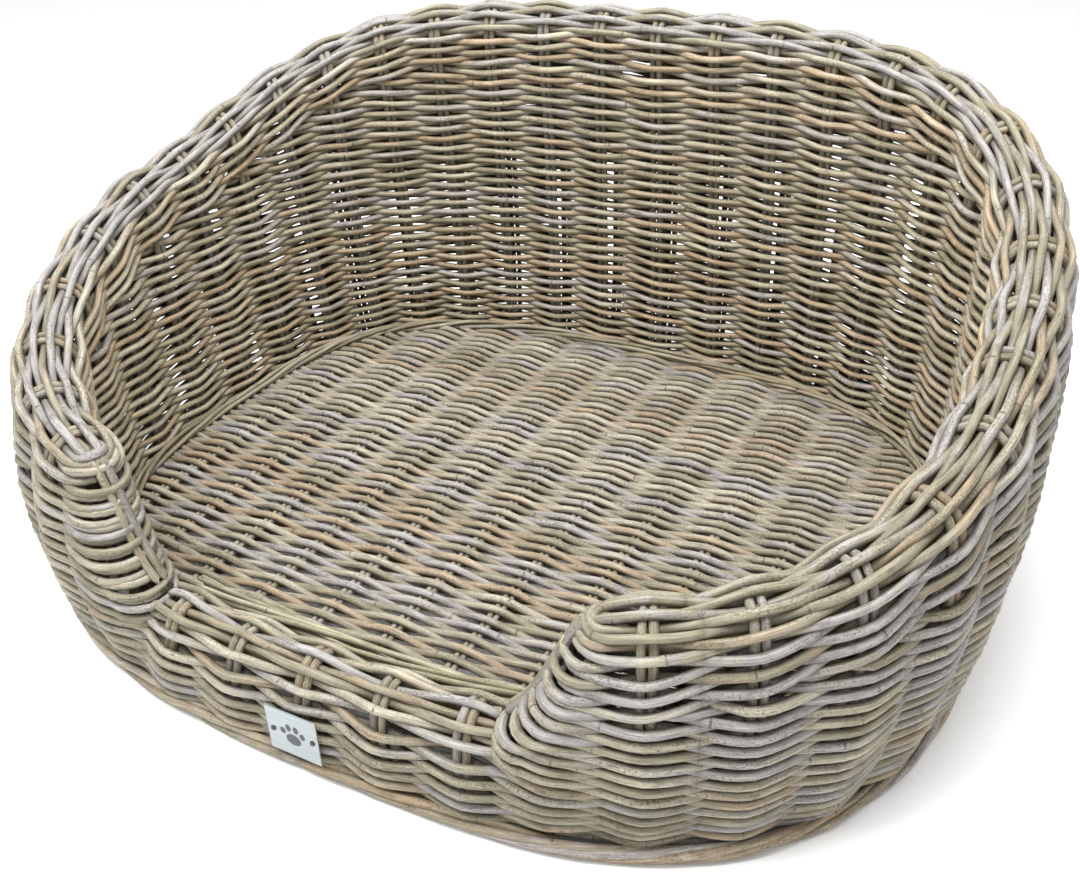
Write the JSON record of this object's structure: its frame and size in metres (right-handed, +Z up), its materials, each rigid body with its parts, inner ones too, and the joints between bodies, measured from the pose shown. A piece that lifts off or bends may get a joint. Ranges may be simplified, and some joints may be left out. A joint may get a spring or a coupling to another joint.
{
  "type": "wicker pet bed basket",
  "caption": "Oval double-walled wicker pet bed woven from weathered rattan cane, with a rolled rim, a high back, sloping arms, a low front entry and a woven floor.",
  "frame": {"origin": "middle of the footprint, on the ground that the foot border rests on", "axes": "+Z up, +X to the right of the entry seen from the front, -Y out of the front entry"},
  "size_m": [0.8658, 0.7053, 0.4173],
  "materials": {
    "wall_cane": "weathered rattan cane, grey to khaki, matt, woven",
    "rim_cane": "weathered rattan cane, slightly greener and paler, satin where it is rubbed",
    "floor_cane": "weathered rattan cane, browner, with orange-tan lengths",
    "pole": "thick peeled rattan pole, plain",
    "plate": "thin brushed sheet, no marking",
    "nail": "darkened round nail head"
  },
  "bodies": {
    "root": {"foot_border": "wall_cane", "outer_wall": "wall_cane", "inner_wall": "wall_cane", "rolled_rim": "rim_cane", "left_arm_nose": "rim_cane", "right_arm_nose": "rim_cane", "sill_cover": "rim_cane", "sill_inner_binding": "rim_cane", "floor_panel": "floor_cane", "floor_border": "rim_cane", "base_hoop": "pole", "rim_pole": "pole", "sill_pole": "pole", "floor_bearer_1": "pole", "floor_bearer_2": "pole", "floor_bearer_3": "pole", "wall_post_left_1": "pole", "wall_post_right_1": "pole", "wall_post_left_2": "pole", "wall_post_right_2": "pole", "wall_post_left_3": "pole", "wall_post_right_3": "pole", "wall_post_left_4": "pole", "wall_post_right_4": "pole", "wall_post_left_5": "pole", "wall_post_right_5": "pole", "wall_post_back": "pole", "name_plate": "plate", "plate_nail_left": "nail", "plate_nail_right": "nail"}
  },
  "joints": []
}
